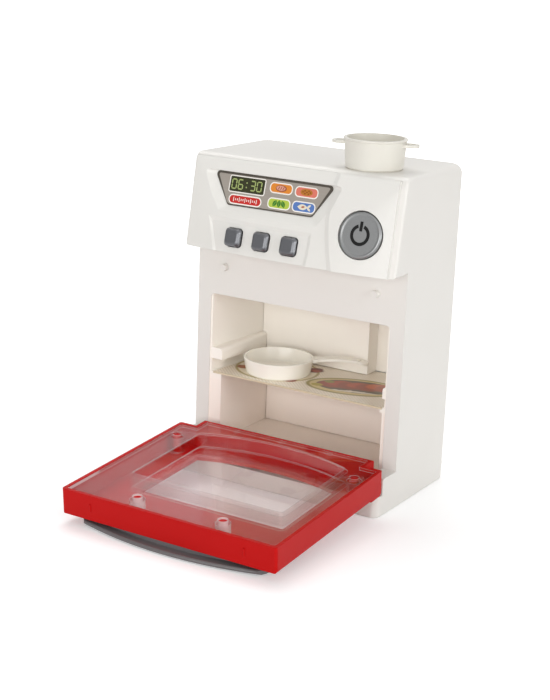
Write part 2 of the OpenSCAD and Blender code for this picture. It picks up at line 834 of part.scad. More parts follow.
// Handle, curved along its front and stepped down past the door's free edge
module door_handle() {
    low = -door_half - handle_t;
    back = handle_r - handle_deep;
    color("dimgray") seat() on_door() {
        intersection() {
            translate([0, -handle_reach + handle_r, low])
                rotate([0, 0, -90 - 18])
                    rotate_extrude(angle = 36, $fn = 360) {
                        translate([back, 1.6]) square([handle_deep - handle_out - 0.2, handle_t - 1.6]);
                        translate([back + 1.6, 0]) square([handle_deep - 1.6 - lip_t / 2, lip_t]);
                        translate([back + 1.6, 1.6]) circle(1.6, $fn = 32);
                        translate([handle_r - lip_t / 2, lip_t / 2]) circle(lip_t / 2, $fn = 32);
                    }
            translate([0, -handle_reach, low - 1]) linear_extrude(handle_t + 2) handle_outline();
        }
        for (s = [-1, 1])
            translate([s * peg_x, -door_len + 8, -door_half - eps])
                cylinder(d = peg_d, h = door_wall + 0.6, $fn = 32);
    }
}

// Plan of the handle from its front: a wide arc that runs into round ends
module handle_outline() {
    inner = handle_r - handle_end_r;
    end_x = handle_w / 2 - handle_end_r;
    end_y = handle_r - sqrt(inner * inner - end_x * end_x);
    meet = end_x * handle_r / inner;
    intersection() {
        translate([0, handle_r]) circle(handle_r, $fn = 360);
        translate([-meet, -1]) square([2 * meet, handle_deep + handle_bow]);
    }
    for (s = [-1, 1])
        translate([s * end_x, end_y]) circle(handle_end_r, $fn = 48);
    translate([-handle_w / 2, end_y]) square([handle_w, handle_deep]);
}

// Field around the power button, with a wide arc as its sloping left edge
module raised_field() {
    run = raised_w / raised_t;
    low = raised_arc + run * (panel_t + raised_t / 3);
    high = raised_arc - run * (8 - raised_t / 3);
    intersection() {
        translate([0, -raised_t, 0]) head_form();
        on_slope()
            translate([power_x + raised_arc - 21.2, power_s + 11, -panel_t])
                cylinder(r1 = low, r2 = high, h = panel_t + 8, $fn = 240);
        on_slope() block([0, -12, -panel_t], [panel_half - 0.4, panel_h, 12]);
        block([-half, -40, head_z], [half, 40, body_h + 1]);
    }
}

// Round corners of the display: its sides and foot may be moved out for the sloping surround
module display_corners(side, foot) {
    for (s = [-1, 1]) {
        translate([s * (display_top_w / 2 - 2 + side), display_h - 2]) circle(2, $fn = 24);
        translate([s * (display_foot_w / 2 - 2 + side), 2 - foot]) circle(2, $fn = 24);
    }
}

module control_panel() {
    color("whitesmoke") seat()
        difference() {
            union() {
                intersection() {
                    envelope();
                    panel_space(0);
                    block([-half, -40, head_z], [half, 40, body_h + 1]);
                }
                raised_field();
                // posts that carry the circuit board
                on_slope() board_places()
                    translate([0, 0, -board_n]) cylinder(d = 5, h = board_n - skin_back, $fn = 32);
            }
            button_field();
            head_edges();
            on_slope() {
                // thinned from behind
                difference() {
                    block([-panel_half + 4, 3, -panel_t - 1], [post_x + 3.5, panel_h - 6, -skin_back]);
                    board_places() translate([0, 0, -20]) cylinder(d = 5, h = 20, $fn = 32);
                }
                translate([power_x, power_s, -panel_t - 1])
                    cylinder(d = power_d + 3.6, h = panel_t + 1 - skin_back, $fn = 64);
                for (i = [-1 : 1])
                    translate([button_x + i * button_pitch, button_s, -20])
                        linear_extrude(40)
                            rounded(button_w + 2 * button_gap, button_w + 2 * button_gap, cap_r + button_gap);
                translate([power_x, power_s, -20]) cylinder(d = power_d + 2 * power_gap, h = 40, $fn = 64);
                // display window with sloping sides
                translate([display_x, display_s, 0])
                    hull() {
                        translate([0, 0, -display_deep - 0.3]) linear_extrude(0.3) display_corners(0, 0);
                        translate([0, 0, display_deep]) linear_extrude(0.3) translate([-2, 0]) display_corners(9, 9);
                    }
                board_places()
                    translate([0, 0, -board_n - 1]) cylinder(d = 1.9, h = screw_in + 1.4, $fn = 24);
            }
        }
}

// Sunk field of the square buttons, open at its foot. Its floor follows the bowed front, and its
// left, right and upper edges slope.
module button_field() {
    a = soft_w / 2;
    b = field_deep / 2;
    side = [[-4 * a, 4 * b], [4 * a, -4 * b], [-30, -4 * b], [-30, 4 * b]];
    left_foot = [field_left, 0, bow_n(field_left, 0) - b];
    right_foot = [field_right, 0, bow_n(field_right, 0) - b];
    difference() {
        on_slope()
            difference() {
                block([field_left - 12, -12, -panel_t + 1], [field_right + 8, field_s + 8, 6]);
                translate(left_foot)
                    rotate([0, 0, field_lean]) rotate([90, 0, 0])
                        linear_extrude(80, center = true) polygon(side);
                translate(right_foot)
                    mirror([1, 0, 0]) rotate([90, 0, 0])
                        linear_extrude(80, center = true) polygon(side);
                field_top();
            }
        translate([0, field_deep, 0]) head_form();
    }
}

// Material above the field's upper edge, which slopes and follows the bow
module field_top() {
    tilt = atan(field_deep / soft_w);
    x0 = button_x - field_w;
    translate([0, field_s + soft_w / 2, 0])
        rotate([0, 0, -0.8])
            rotate([tilt - 90, 0, 0])
                linear_extrude(16, center = true)
                    polygon(concat(
                        [for (i = [0 : 16])
                            let (x = x0 + 2 * field_w * i / 16)
                            [x, -bow_n(x, field_s) * cos(tilt)]],
                        [[x0 + 2 * field_w, 14], [x0, 14]]
                    ));
}

module board_places() {
    for (x = [board_left + 4, post_x], s = [board_foot + 3.4, board_top - 5])
        translate([x, s, 0]) children();
}

module display_label() {
    color("tan") seat() on_slope()
        translate([display_x, display_s, -display_deep - 0.3])
            linear_extrude(0.3) hull() display_corners(-0.1, -0.1);
}

module square_button(i) {
    color("gray") seat() on_slope()
        translate([button_x + i * button_pitch, button_s, 0]) {
            // flange behind the panel, shorter at the foot
            foot = flange_foot - button_s;
            head = (button_w + flange_w) / 2;
            translate([0, (foot + head) / 2, -skin_back - flange_t])
                linear_extrude(flange_t) rounded(button_w + flange_w, head - foot, cap_r);
            translate([0, 0, -skin_back - eps])
                linear_extrude(skin_back + button_top - cap_h) rounded(button_w, button_w, cap_r);
            hull() {
                translate([0, 0, button_top - cap_h - eps])
                    linear_extrude(eps) rounded(button_w, button_w, cap_r);
                translate([0, 0, button_top - 0.4])
                    linear_extrude(eps) rounded(button_w - 1.6, button_w - 1.6, cap_r - 0.2);
                translate([0, 0, button_top - eps])
                    linear_extrude(eps) rounded(button_w - 3.2, button_w - 3.2, cap_r - 0.6);
            }
        }
}

module button_left() {
    square_button(-1);
}

module button_middle() {
    square_button(0);
}

module button_right() {
    square_button(1);
}

// Round button with a round-edged rim about a slightly sunk face
module power_button() {
    r = power_d / 2;
    rim = power_d / 10;
    face = 1;
    color("darkgray") seat() on_slope()
        translate([power_x, power_s, 0])
            rotate_extrude($fn = 72) {
                translate([0, -skin_back - flange_t]) square([r + 1.4, flange_t]);
                translate([0, -skin_back - eps]) square([r, skin_back + 0.1]);
                square([r - rim / 2, face]);
                translate([r - rim / 2, face + 0.3 - rim / 2]) circle(rim / 2, $fn = 48);
            }
}

module rubber_keypad() {
    color("lightgray") seat() on_slope() {
        foot = -board_n;
        h = board_gap - flange_t - 0.2;
        translate([button_x, board_foot + 4, foot]) linear_extrude(0.6) rounded(48, 7.6, 2);
        for (i = [-1 : 1])
            translate([button_x + i * button_pitch, board_foot + 4, foot]) dome(3.4, 2, h);
        translate([power_x, power_s, foot]) {
            cylinder(r = 7, h = 0.6, $fn = 32);
            dome(5.5, 3.5, h);
        }
    }
}

// Hollow rubber dome with a solid tip
module dome(foot_r, tip_r, h) {
    difference() {
        union() {
            cylinder(r1 = foot_r, r2 = tip_r, h = h - 0.8, $fn = 32);
            translate([0, 0, h - 0.8 - eps]) cylinder(r = tip_r, h = 0.8 + eps, $fn = 32);
        }
        translate([0, 0, -eps]) cylinder(r1 = foot_r - 0.8, r2 = tip_r - 0.8, h = h - 1.2, $fn = 32);
    }
}

module circuit_board() {
    color("darkgreen") seat() on_slope()
        difference() {
            union() {
                block([board_left, board_foot, -board_n - board_t], [board_right, board_top, -board_n]);
                // sound chip under its blob, and two parts beside it
                translate([0, 26, -board_n - board_t - 1.4]) cylinder(r1 = 4, r2 = 6, h = 1.5, $fn = 32);
                block([-22, 24, -board_n - board_t - 2], [-16, 30, -board_n - board_t + eps]);
                translate([-32, 27, -board_n - board_t - 5]) cylinder(r = 2.5, h = 5 + eps, $fn = 24);
            }
            board_places() translate([0, 0, -board_n - board_t - 1]) cylinder(d = 2.4, h = 4, $fn = 24);
        }
}

module board_screws() {
    color("silver") seat() on_slope() board_places() {
        translate([0, 0, -board_n - board_t - 1.3]) cylinder(d = 4, h = 1.3, $fn = 24);
        translate([0, 0, -board_n - board_t - eps])
            cylinder(d = 1.8, h = board_t + screw_in, $fn = 24);
    }
}

// Speaker, lying against the inside of the rear cover
module speaker_basket() {
    r = speaker_d / 2;
    color("dimgray") seat()
        translate([speaker_x, cover_y, speaker_z])
            rotate([90, 0, 0])
                rotate_extrude($fn = 48)
                    polygon([
                        [r - 2.5, 0], [r, 0], [r, 1.2], [r - 3, 1.6], [r * 0.62, speaker_t - 3],
                        [r * 0.62, speaker_t], [0, speaker_t], [0, speaker_t - 2],
                        [r * 0.45, speaker_t - 3.4], [r - 4.5, 1.2], [r - 2.5, 1]
                    ]);
}

module speaker_cone() {
    r = speaker_d / 2;
    color("black") seat()
        translate([speaker_x, cover_y, speaker_z])
            rotate([90, 0, 0])
                rotate_extrude($fn = 48)
                    polygon([
                        [0, 1.8], [r * 0.3, 2.1], [r - 5, 0.4], [r - 2.7, 0.4], [r - 2.7, 0.8],
                        [r - 4.8, 0.9], [r * 0.36, 3.1], [0, 3.1]
                    ]);
}

module battery_cells() {
    color("steelblue") seat()
        for (s = [-1, 1])
            translate([-s * cell_l / 2, cell_y, box_mid_z + s * cell_pitch / 2])
                rotate([0, s * 90, 0]) {
                    cylinder(d = cell_d, h = cell_l - 1.2, $fn = 48);
                    translate([0, 0, cell_l - 1.2 - eps]) cylinder(d = 5.2, h = 1.2 + eps, $fn = 32);
                }
}

module battery_contacts() {
    inner = box_in_w / 2;
    color("silver") seat()
        for (s = [-1, 1]) {
            block([s > 0 ? inner - 0.5 : -inner, cell_y - 5, box_mid_z - cell_pitch + 2],
                [s > 0 ? inner : -inner + 0.5, cell_y + 5, box_mid_z + cell_pitch - 2]);
            // the flat contact's bump and the coil against the negative end
            translate([s * (inner - 0.5), cell_y, box_mid_z + s * cell_pitch / 2])
                rotate([0, -s * 90, 0])
                    cylinder(d = 4, h = inner - 0.5 - cell_l / 2 - 0.1, $fn = 24);
            translate([s * (inner - 0.5), cell_y, box_mid_z - s * cell_pitch / 2])
                rotate([0, -s * 90, 0])
                    cylinder(r1 = 4.5, r2 = 2.5, h = inner - 0.5 - cell_l / 2 - 0.1, $fn = 24);
        }
}

module oven_lamp() {
    color("lemonchiffon", 0.7) seat()
        translate([0, oven_d / 2, ceiling_z + wall])
            rotate([180, 0, 0])
                rotate_extrude($fn = 32) {
                    translate([0, -1]) square([lamp_d / 2 + 0.5, 1]);
                    translate([0, -0.1]) square([lamp_d / 2, wall + 0.4]);
                    intersection() {
                        translate([0, wall + 0.2]) circle(lamp_d / 2, $fn = 48);
                        translate([0, wall]) square(lamp_d);
                    }
                }
}

module case_screws() {
    color("silver") seat()
        for (s = [-1, 1], z = [boss_low, boss_high])
            translate([s * boss_x, cover_y + 0.7, z])
                rotate([-90, 0, 0])
                    difference() {
                        union() {
                            cylinder(d = 5.4, h = 1.3, $fn = 32);
                            translate([0, 0, -screw_l]) cylinder(d = screw_d, h = screw_l + eps, $fn = 24);
                        }
                        for (a = [0, 90])
                            rotate([0, 0, a]) translate([-1.7, -0.35, 0.5]) cube([3.4, 0.7, 1]);
                    }
}

module battery_door_screw() {
    color("silver") seat()
        translate([0, body_d - hatch_t + 0.6, hatch_screw])
            rotate([-90, 0, 0]) {
                cylinder(d = 4.6, h = 1, $fn = 32);
                translate([0, 0, -hatch_screw_l + 1]) cylinder(d = screw_d, h = hatch_screw_l - 1 + eps, $fn = 24);
            }
}

module oven_shelf() {
    inset = lower_in + shelf_side;
    front = upper_half(shelf_front) - inset;
    back = upper_half(shelf_back) - inset;
    color("antiquewhite") seat()
        translate([0, 0, ledge_z])
            linear_extrude(shelf_t)
                polygon([
                    [-front, shelf_front], [front, shelf_front], [back, shelf_back], [-back, shelf_back]
                ]);
}

module frying_pan() {
    color("beige") seat()
        translate([pan_x, pan_y, shelf_top]) {
            rotate_extrude($fn = 72)
                polygon([
                    [0, 0], [pan_foot - 0.8, 0], [pan_foot, 0.8], [pan_r, pan_h - 0.3],
                    [pan_r - 0.3, pan_h], [pan_r - pan_wall, pan_h],
                    [pan_foot - pan_wall, pan_wall + 0.6], [pan_foot - pan_wall - 0.8, pan_wall],
                    [0, pan_wall]
                ]);
            // handle, arched a little in its side view
            rotate([0, 0, pan_turn])
                difference() {
                    intersection() {
                        linear_extrude(pan_h + 4) {
                            translate([pan_r - 0.6, -3]) square([pan_handle - 3.4, 6]);
                            translate([pan_end, 0]) circle(4, $fn = 32);
                            translate([pan_r - 0.6, -4]) square([3, 8]);
                        }
                        translate([pan_r + 14, 0, pan_h + 0.8 - 90])
                            rotate([90, 0, 0])
                                translate([0, 0, -10])
                                    difference() {
                                        cylinder(r = 90, h = 20, $fn = 240);
                                        translate([0, 0, -1]) cylinder(r = 88.4, h = 22, $fn = 240);
                                    }
                    }
                    translate([pan_end - 1, 0, -1]) cylinder(d = 3, h = 20, $fn = 24);
                }
        }
}

module cooking_pot() {
    lug_z = pot_h - 3.8;
    color("beige") seat()
        translate([pot_x, pot_y, body_h]) {
            rotate_extrude($fn = 72)
                polygon([
                    [0, 0], [pot_foot - 0.8, 0], [pot_foot, 0.8], [pot_r, pot_h - 1.2],
                    [pot_r + 0.5, pot_h - 0.9], [pot_r + 0.5, pot_h - 0.2], [pot_r + 0.3, pot_h],
                    [pot_r - pan_wall, pot_h], [pot_foot - pan_wall, pan_wall + 0.6],
                    [pot_foot - pan_wall - 0.8, pan_wall], [0, pan_wall]
                ]);
            rotate([0, 0, pot_turn])
                for (s = [-1, 1])
                    difference() {
                        translate([0, 0, lug_z])
                            linear_extrude(1.5) {
                                translate([s * (pot_reach - 4.5), 0]) circle(4.5, $fn = 32);
                                translate([s > 0 ? pot_r - 1 : 4.5 - pot_reach, -4.5])
                                    square([pot_reach - 3.5 - pot_r, 9]);
                            }
                        translate([s * (pot_reach - 4.2), 0, lug_z - 1]) cylinder(d = 4.2, h = 4, $fn = 24);
                    }
        }
}

cabinet_shell();
rear_cover();
battery_door();
control_panel();
display_label();
button_left();
button_middle();
button_right();
power_button();
rubber_keypad();
circuit_board();
board_screws();
speaker_basket();
speaker_cone();
battery_cells();
battery_contacts();
oven_lamp();
case_screws();
battery_door_screw();
door_frame();
door_window();
door_handle();
oven_shelf();
frying_pan();
cooking_pot();
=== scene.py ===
# A toy oven: looks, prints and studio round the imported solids. The solids keep their shapes, and the
# pieces made here are the thin layers of print, which ride on the bodies that carry them.
import math

import bmesh
import bpy
from mathutils import Matrix, Vector


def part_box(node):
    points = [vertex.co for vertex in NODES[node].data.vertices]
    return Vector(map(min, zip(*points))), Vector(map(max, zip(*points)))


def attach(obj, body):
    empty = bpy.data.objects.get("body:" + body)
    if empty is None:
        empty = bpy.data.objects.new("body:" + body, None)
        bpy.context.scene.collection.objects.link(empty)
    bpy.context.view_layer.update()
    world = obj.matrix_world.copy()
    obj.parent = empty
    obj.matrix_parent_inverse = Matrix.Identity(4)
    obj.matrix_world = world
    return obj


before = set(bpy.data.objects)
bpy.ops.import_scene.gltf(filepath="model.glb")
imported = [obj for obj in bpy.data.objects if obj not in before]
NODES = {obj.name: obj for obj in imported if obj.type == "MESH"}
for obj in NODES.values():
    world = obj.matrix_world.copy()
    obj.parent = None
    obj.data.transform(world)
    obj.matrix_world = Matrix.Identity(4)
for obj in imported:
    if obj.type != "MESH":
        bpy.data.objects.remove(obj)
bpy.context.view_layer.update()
MM = 0.001

# Frame of the control slope: x across, y up the slope, z out of it
SLOPE_LEAN = math.atan((14.5 + 4.7 - 5.5) / 50.8)
SLOPE_FOOT = Vector((0, -41.2, 129.2)) * MM
SLOPE = Matrix.Translation(SLOPE_FOOT) @ Matrix.Rotation(math.pi / 2 - SLOPE_LEAN, 4, "X")
# Frame of the open door: x across, -y towards its free edge, z up from its middle plane
DOOR_DROOP = math.radians(4.074)
DOOR = (Matrix.Translation(Vector((0, -33.3, 19.1)) * MM) @ Matrix.Rotation(DOOR_DROOP, 4, "X")
        @ Matrix.Translation((0, 0, 0.8 * MM)))
# Heights of the shelf in millimetres
SHELF_FOOT, SHELF_TOP = 54.0, 55.0


def linear(hex_value, alpha=1.0):
    """sRGB hex colour as the linear values a shader takes."""
    channels = [(hex_value >> shift & 255) / 255 for shift in (16, 8, 0)]
    curve = [c / 12.92 if c <= 0.04045 else ((c + 0.055) / 1.055) ** 2.4 for c in channels]
    return (*curve, alpha)


def add(tree, kind, links=None, **settings):
    """Adds a node: links and values go to its sockets, the other settings to the node itself."""
    node = tree.nodes.new(kind)
    for name, value in settings.items():
        setattr(node, name, value)
    for socket, value in (links or {}).items():
        if isinstance(value, bpy.types.NodeSocket):
            tree.links.new(value, node.inputs[socket])
        else:
            node.inputs[socket].default_value = value
    return node


def new_material(name, roughness, **fixed):
    """A material with its tree, its shader and the object's own coordinates."""
    material = bpy.data.materials.new(name)
    material.use_nodes = True
    tree = material.node_tree
    shader = tree.nodes["Principled BSDF"]
    shader.inputs["Roughness"].default_value = roughness
    for socket, value in fixed.items():
        shader.inputs[socket.replace("_", " ")].default_value = value
    place = add(tree, "ShaderNodeTexCoord").outputs["Object"]
    return material, tree, shader, place


def soft_surface(tree, shader, height, depth, edge, strength=0.4):
    """Bump of a given depth on edges that are rounded by a given radius, both in millimetres."""
    corner = add(tree, "ShaderNodeBevel", {"Radius": edge * MM}, samples=6)
    bump = add(tree, "ShaderNodeBump", {"Height": height, "Distance": depth * MM, "Strength": strength,
                                        "Normal": corner.outputs["Normal"]})
    tree.links.new(bump.outputs["Normal"], shader.inputs["Normal"])


def moulded_plastic(name, colour, shade, roughness, edge, grain=0.02, grain_size=0.5, **fixed):
    """Injection-moulded plastic: an even colour with faint flow shading, a fine satin grain and
    edges that the tool's radius softens."""
    material, tree, shader, place = new_material(name, roughness, **fixed)
    flow = add(tree, "ShaderNodeTexNoise", {"Vector": place, "Scale": 28.0, "Detail": 2.0})
    tint = add(tree, "ShaderNodeMix", {0: flow.outputs["Fac"], 6: linear(colour), 7: linear(shade)},
               data_type="RGBA")
    tree.links.new(tint.outputs[2], shader.inputs["Base Color"])
    fine = add(tree, "ShaderNodeTexNoise", {"Vector": place, "Scale": 1 / (grain_size * MM), "Detail": 2.0})
    soft_surface(tree, shader, fine.outputs["Fac"], grain, edge)
    return material


def oven_abs(name, colour, shade, inside, painted_bounce_under_shelf, roughness, edge):
    """Moulded white plastic of the cabinet. The walls of the oven are painted light: lighter and a
    little warmer than the outside, and warmest under the shelf, a painted red bounce from the door."""
    material, tree, shader, place = new_material(name, roughness)
    axes = add(tree, "ShaderNodeSeparateXYZ", {"Vector": place})
    across = add(tree, "ShaderNodeMath", {0: axes.outputs["X"]}, operation="ABSOLUTE").outputs[0]
    depth, height = axes.outputs["Y"], axes.outputs["Z"]
    painted_light_mask = 1.0
    # Limits of the oven's inside in millimetres: where it starts to fade in and where it is full
    for value, outer, inner in ((across, 56.8, 56.4), (depth, -21.9, -21.4), (depth, 38.6, 38.4),
                                (height, 14.2, 14.6), (height, 103.0, 102.6)):
        limit = add(tree, "ShaderNodeMapRange",
                    {"Value": value, "From Min": outer * MM, "From Max": inner * MM})
        painted_light_mask = add(tree, "ShaderNodeMath", {0: painted_light_mask, 1: limit.outputs["Result"]},
                     operation="MULTIPLY").outputs[0]
    flow = add(tree, "ShaderNodeTexNoise", {"Vector": place, "Scale": 28.0, "Detail": 2.0})
    outside = add(tree, "ShaderNodeMix", {0: flow.outputs["Fac"], 6: linear(colour), 7: linear(shade)},
                  data_type="RGBA")
    # Painted red bounce: the walls grow warmer under the shelf
    low = add(tree, "ShaderNodeMapRange",
              {"Value": height, "From Min": SHELF_FOOT * MM, "From Max": (SHELF_FOOT - 4) * MM})
    painted_light_inside = add(tree, "ShaderNodeMix", {0: low.outputs["Result"], 6: linear(inside), 7: linear(painted_bounce_under_shelf)},
                data_type="RGBA")
    tint = add(tree, "ShaderNodeMix", {0: painted_light_mask, 6: outside.outputs[2], 7: painted_light_inside.outputs[2]},
               data_type="RGBA")
    tree.links.new(tint.outputs[2], shader.inputs["Base Color"])
    fine = add(tree, "ShaderNodeTexNoise", {"Vector": place, "Scale": 1 / (0.5 * MM), "Detail": 2.0})
    soft_surface(tree, shader, fine.outputs["Fac"], 0.02, edge)
    return material


def clear_styrene(name):
    """Clear polystyrene: glossy and nearly colourless, and light passes through it to what lies
    behind. Its edges are painted whiter as a highlight, and the upright wall at its free side
    is painted milky, a painted sheen."""
    clearest, most_open, least_open = 0.985, 0.92, 0.3
    material, tree, shader, place = new_material(name, 0.05, IOR=1.59)
    shader.inputs["Base Color"].default_value = linear(0xFBF8F8)
    # How sharp the edge is here: how far the rounded normal turns from the true one
    corner = add(tree, "ShaderNodeBevel", {"Radius": 0.6 * MM}, samples=8)
    flat = add(tree, "ShaderNodeNewGeometry")
    along = add(tree, "ShaderNodeVectorMath", {0: corner.outputs["Normal"], 1: flat.outputs["Normal"]},
                operation="DOT_PRODUCT")
    sharp = add(tree, "ShaderNodeMapRange",
                {"Value": along.outputs["Value"], "From Min": 0.98, "From Max": 0.85, "To Max": 0.85})
    # How much painted sheen whitens it: only upright faces near the free side
    facing = add(tree, "ShaderNodeTexCoord").outputs["Normal"]
    tilt = add(tree, "ShaderNodeSeparateXYZ", {"Vector": facing})
    lean = add(tree, "ShaderNodeMath", {0: tilt.outputs["Z"]}, operation="ABSOLUTE")
    upright = add(tree, "ShaderNodeMapRange", {"Value": lean.outputs[0], "From Min": 0.6, "From Max": 0.2})
    depth = add(tree, "ShaderNodeSeparateXYZ", {"Vector": place}).outputs["Y"]
    free_side = add(tree, "ShaderNodeMapRange",
                    {"Value": depth, "From Min": -110 * MM, "From Max": -119 * MM, "To Max": 0.95})
    painted_sheen = add(tree, "ShaderNodeMath", {0: upright.outputs["Result"], 1: free_side.outputs["Result"]},
               operation="MULTIPLY")
    # Painted highlight and sheen: sharp edges and the free-side wall turn whiter and less clear
    painted_highlight_and_sheen = add(tree, "ShaderNodeMath", {0: painted_sheen.outputs[0], 1: sharp.outputs["Result"]},
                 operation="MAXIMUM").outputs[0]
    clear = add(tree, "ShaderNodeMath", {0: clearest, 1: painted_highlight_and_sheen}, operation="SUBTRACT")
    tree.links.new(clear.outputs[0], shader.inputs["Transmission Weight"])
    ripple = add(tree, "ShaderNodeTexNoise", {"Vector": place, "Scale": 60.0, "Detail": 2.0})
    soft_surface(tree, shader, ripple.outputs["Fac"], 0.02, 0.3, 0.3)
    # Light from lamps and walls goes straight through; the eye also sees the sheen of the outer face
    path = add(tree, "ShaderNodeLightPath")
    light = add(tree, "ShaderNodeMath", {0: path.outputs["Is Shadow Ray"], 1: path.outputs["Is Diffuse Ray"]},
                operation="MAXIMUM").outputs[0]
    open_share = add(tree, "ShaderNodeMapRange",
                     {"Value": painted_highlight_and_sheen, "From Max": 0.6, "To Min": most_open, "To Max": least_open})
    share = add(tree, "ShaderNodeMath", {0: light, 1: open_share.outputs["Result"]}, operation="MAXIMUM")
    sheen = add(tree, "ShaderNodeFresnel", {"IOR": 1.59})
    hidden = add(tree, "ShaderNodeMath", {0: light, 1: flat.outputs["Backfacing"]}, operation="MAXIMUM")
    outer = add(tree, "ShaderNodeMath", {0: 1.0, 1: hidden.outputs[0]}, operation="SUBTRACT")
    glint = add(tree, "ShaderNodeMath", {0: sheen.outputs["Fac"], 1: outer.outputs[0]}, operation="MULTIPLY")
    straight = add(tree, "ShaderNodeBsdfTransparent", {"Color": linear(0xFEFBFB)})
    gloss = add(tree, "ShaderNodeBsdfGlossy", {"Roughness": 0.04})
    through = add(tree, "ShaderNodeMixShader",
                  {0: glint.outputs[0], 1: straight.outputs["BSDF"], 2: gloss.outputs["BSDF"]})
    mixed = add(tree, "ShaderNodeMixShader",
                {0: share.outputs[0], 1: shader.outputs["BSDF"], 2: through.outputs["Shader"]})
    tree.links.new(mixed.outputs["Shader"], tree.nodes["Material Output"].inputs["Surface"])
    return material


def brushed_film(name):
    """Silver film printed with a brushed look: streaks across its width. The streaks are drawn
    0.5 mm apart, coarser than the real ones, so that they show."""
    material, tree, shader, place = new_material(name, 0.45)
    streak = add(tree, "ShaderNodeMapping", {"Vector": place, "Scale": (18.0, 1900.0, 1900.0)})
    lines = add(tree, "ShaderNodeTexNoise",
                {"Vector": streak.outputs["Vector"], "Scale": 1.0, "Detail": 3.0})
    tint = add(tree, "ShaderNodeMix", {0: lines.outputs["Fac"], 6: linear(0x948C83), 7: linear(0xA69E94)},
               data_type="RGBA")
    tree.links.new(tint.outputs[2], shader.inputs["Base Color"])
    soft_surface(tree, shader, lines.outputs["Fac"], 0.02, 0.1)
    return material


def printing_ink(name, colour, shade=None):
    """Screen-printed ink on film: even, a little uneven in density, with a satin face."""
    return moulded_plastic(name, colour, shade or colour, 0.45, 0.05, 0.004, 0.8, Specular_IOR_Level=0.2)


def silver_paint(name, colour, shade):
    """Silver paint on a moulded key: metal flake under lacquer, so it shines softly."""
    material, tree, shader, place = new_material(name, 0.3, Metallic=0.75, Coat_Weight=0.3,
                                                 Coat_Roughness=0.12)
    flake = add(tree, "ShaderNodeTexVoronoi", {"Vector": place, "Scale": 1 / (0.5 * MM)})
    tint = add(tree, "ShaderNodeMix", {0: flake.outputs["Distance"], 6: linear(colour), 7: linear(shade)},
               data_type="RGBA")
    tree.links.new(tint.outputs[2], shader.inputs["Base Color"])
    soft_surface(tree, shader, flake.outputs["Distance"], 0.01, 0.35, 0.2)
    return material


def zinc_steel(name):
    """Zinc-plated steel, bright and slightly blotchy, with faint marks from the plating drum."""
    material, tree, shader, place = new_material(name, 0.3, Metallic=1.0)
    blotch = add(tree, "ShaderNodeTexNoise", {"Vector": place, "Scale": 400.0, "Detail": 4.0})
    tint = add(tree, "ShaderNodeMix", {0: blotch.outputs["Fac"], 6: linear(0xA9ACB0), 7: linear(0xD2D3D4)},
               data_type="RGBA")
    tree.links.new(tint.outputs[2], shader.inputs["Base Color"])
    soft_surface(tree, shader, blotch.outputs["Fac"], 0.02, 0.2)
    return material


def keypad_rubber(name):
    """Moulded silicone rubber: matt grey with a dusty bloom."""
    return moulded_plastic(name, 0x8C8C8E, 0x7E7E80, 0.75, 0.4, 0.03, 0.6)


def board_laminate(name):
    """Circuit board: green solder resist over copper tracks 1 mm apart."""
    material, tree, shader, place = new_material(name, 0.3, Coat_Weight=0.4)
    tracks = add(tree, "ShaderNodeTexBrick",
                 {"Vector": place, "Scale": 60.0, "Color1": linear(0x1E6A3A), "Color2": linear(0x1A5F34),
                  "Mortar": linear(0x124A28), "Mortar Size": 0.02})
    tree.links.new(tracks.outputs["Color"], shader.inputs["Base Color"])
    soft_surface(tree, shader, tracks.outputs["Fac"], 0.05, 0.2)
    return material


def cone_paper(name):
    """Pressed black paper of a speaker cone, with rings 1.5 mm apart."""
    material, tree, shader, place = new_material(name, 0.9)
    rings = add(tree, "ShaderNodeTexWave", {"Vector": place, "Scale": 210.0, "Distortion": 1.0},
                wave_type="RINGS", rings_direction="Y")
    tint = add(tree, "ShaderNodeMix", {0: rings.outputs["Fac"], 6: linear(0x161616), 7: linear(0x242424)},
               data_type="RGBA")
    tree.links.new(tint.outputs[2], shader.inputs["Base Color"])
    soft_surface(tree, shader, rings.outputs["Fac"], 0.1, 0.2)
    return material


def cell_jacket(name):
    """Printed foil jacket of a battery: dark with a copper-coloured band at the positive end. The
    two cells lie opposite ways, so the band changes sides at the height between them."""
    material, tree, shader, place = new_material(name, 0.28, Metallic=0.6, Coat_Weight=0.5)
    axes = add(tree, "ShaderNodeSeparateXYZ", {"Vector": place})
    low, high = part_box("battery_cells")
    above = add(tree, "ShaderNodeMath", {0: axes.outputs["Z"], 1: (low[2] + high[2]) / 2},
                operation="SUBTRACT")
    side = add(tree, "ShaderNodeMath", {0: above.outputs[0]}, operation="SIGN")
    along = add(tree, "ShaderNodeMath", {0: axes.outputs["X"], 1: side.outputs[0]}, operation="MULTIPLY")
    band = add(tree, "ShaderNodeMapRange",
               {"Value": along.outputs[0], "From Min": 12.8 * MM, "From Max": 13.0 * MM})
    tint = add(tree, "ShaderNodeMix", {0: band.outputs["Result"], 6: linear(0x26282C), 7: linear(0xB0713A)},
               data_type="RGBA")
    tip = add(tree, "ShaderNodeMapRange",
              {"Value": along.outputs[0], "From Min": 23.6 * MM, "From Max": 23.7 * MM})
    steel = add(tree, "ShaderNodeMix", {0: tip.outputs["Result"], 6: tint.outputs[2], 7: linear(0xC4C5C7)},
                data_type="RGBA")
    tree.links.new(steel.outputs[2], shader.inputs["Base Color"])
    soft_surface(tree, shader, band.outputs["Result"], 0.05, 0.4)
    return material


# Scale of a Wave texture whose bands lie one unit apart
WAVE_PER_UNIT = 0.314
